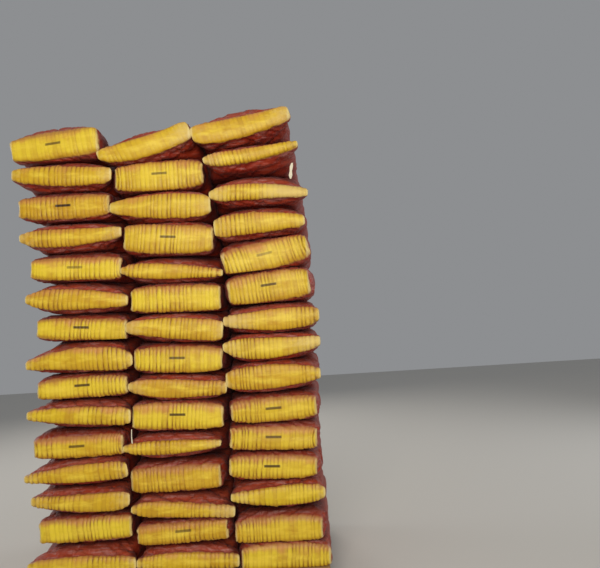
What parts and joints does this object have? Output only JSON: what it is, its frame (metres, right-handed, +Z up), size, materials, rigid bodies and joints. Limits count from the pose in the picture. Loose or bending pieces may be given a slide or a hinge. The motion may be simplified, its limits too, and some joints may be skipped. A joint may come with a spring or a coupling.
{
  "type": "pallet of stacked sacks",
  "caption": "Tall stack of filled woven plastic sacks in columns, laid head to tail with their yellow ends showing, on a plain wooden pallet.",
  "frame": {"origin": "on the ground under the middle of the whole stack", "axes": "+Z up; +X to the right along the front of the stack; +Y into the depth, along the sacks, so the sack ends in the picture face -Y"},
  "size_m": [1.5778, 0.93, 2.5101],
  "materials": {
    "sack_cloth": "maroon printed woven polypropylene with a satin film, yellow at both ends",
    "sawn_board": "rough sawn softwood"
  },
  "bodies": {
    "root": {"sack_left_row_01": "sack_cloth", "sack_left_row_02": "sack_cloth", "sack_left_row_03": "sack_cloth", "sack_left_row_04": "sack_cloth", "sack_left_row_05": "sack_cloth", "sack_left_row_06": "sack_cloth", "sack_left_row_07": "sack_cloth", "sack_left_row_08": "sack_cloth", "sack_left_row_09": "sack_cloth", "sack_left_row_10": "sack_cloth", "sack_left_row_11": "sack_cloth", "sack_left_row_12": "sack_cloth", "sack_left_row_13": "sack_cloth", "sack_left_row_14": "sack_cloth", "sack_left_row_15": "sack_cloth", "sack_middle_row_01": "sack_cloth", "sack_middle_row_02": "sack_cloth", "sack_middle_row_03": "sack_cloth", "sack_middle_row_04": "sack_cloth", "sack_middle_row_05": "sack_cloth", "sack_middle_row_06": "sack_cloth", "sack_middle_row_07": "sack_cloth", "sack_middle_row_08": "sack_cloth", "sack_middle_row_09": "sack_cloth", "sack_middle_row_10": "sack_cloth", "sack_middle_row_11": "sack_cloth", "sack_middle_row_12": "sack_cloth", "sack_middle_row_13": "sack_cloth", "sack_middle_row_14": "sack_cloth", "sack_middle_row_15": "sack_cloth", "sack_right_row_01": "sack_cloth", "sack_right_row_02": "sack_cloth", "sack_right_row_03": "sack_cloth", "sack_right_row_04": "sack_cloth", "sack_right_row_05": "sack_cloth", "sack_right_row_06": "sack_cloth", "sack_right_row_07": "sack_cloth", "sack_right_row_08": "sack_cloth", "sack_right_row_09": "sack_cloth", "sack_right_row_10": "sack_cloth", "sack_right_row_11": "sack_cloth", "sack_right_row_12": "sack_cloth", "sack_right_row_13": "sack_cloth", "sack_right_row_14": "sack_cloth", "sack_right_row_15": "sack_cloth", "foot_board_1": "sawn_board", "foot_board_2": "sawn_board", "foot_board_3": "sawn_board", "foot_board_4": "sawn_board", "foot_board_5": "sawn_board", "bearer_left": "sawn_board", "bearer_middle": "sawn_board", "bearer_right": "sawn_board", "deck_board_1": "sawn_board", "deck_board_2": "sawn_board", "deck_board_3": "sawn_board", "deck_board_4": "sawn_board", "deck_board_5": "sawn_board", "deck_board_6": "sawn_board", "deck_board_7": "sawn_board"}
  },
  "joints": []
}
